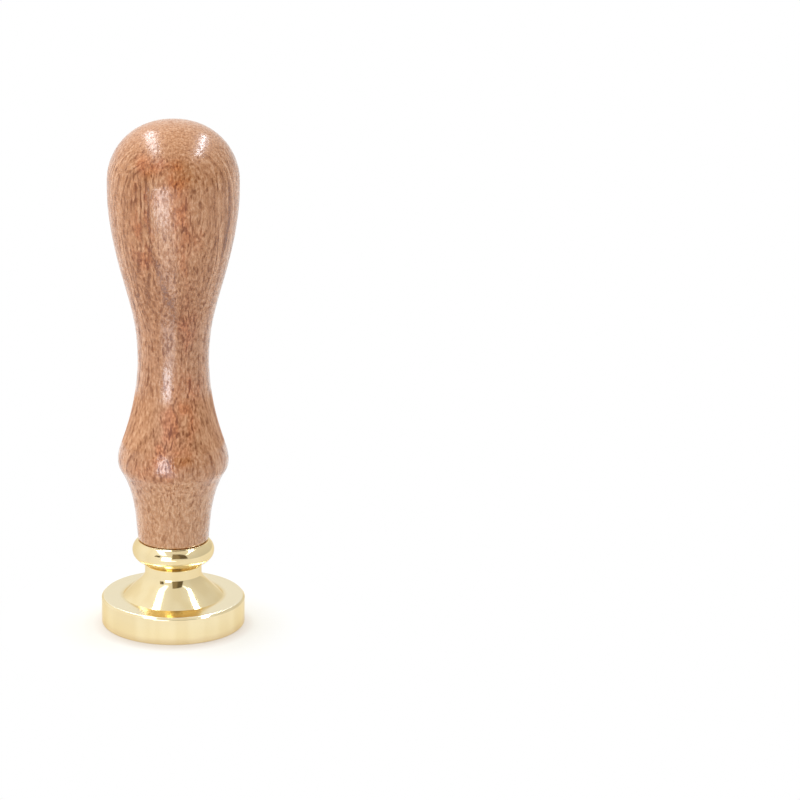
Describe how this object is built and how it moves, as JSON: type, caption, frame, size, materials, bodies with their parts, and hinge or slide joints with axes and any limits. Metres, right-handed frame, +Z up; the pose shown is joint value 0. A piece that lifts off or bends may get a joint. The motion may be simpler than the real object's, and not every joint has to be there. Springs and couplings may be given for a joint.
{
  "type": "wax seal stamp",
  "caption": "Wax seal stamp with a turned, lacquered wooden handle that screws onto a polished brass head with an engraved face.",
  "frame": {"origin": "centre of the engraved face of the brass head, which is also the bottom of the stamp", "axes": "+Z up along the turning axis, from the engraved face to the top of the handle; +X along one long petal of the engraving"},
  "size_m": [0.025, 0.025, 0.09],
  "materials": {
    "polished_brass": "polished",
    "plated_steel": "bright zinc plate",
    "lacquered_wood": "clear gloss lacquer over light reddish brown wood"
  },
  "bodies": {
    "head": {"stamp_head": "polished_brass"},
    "screw": {"threaded_stud": "plated_steel"},
    "handle": {"handle": "lacquered_wood"}
  },
  "joints": [
    {"name": "handle_rise", "type": "slide", "parent": "head", "child": "screw", "axis": [0, 0, 1], "range_m": [0, 0.008]},
    {"name": "handle_turn", "type": "hinge", "parent": "screw", "child": "handle", "pos_m": [0, 0, 0.0152], "axis": [0, 0, 1], "range_deg": [0, 2880]}
  ],
  "couplings": [
    {"joint": "handle_turn", "follows": "handle_rise", "rad_per_m": 6283.2}
  ]
}
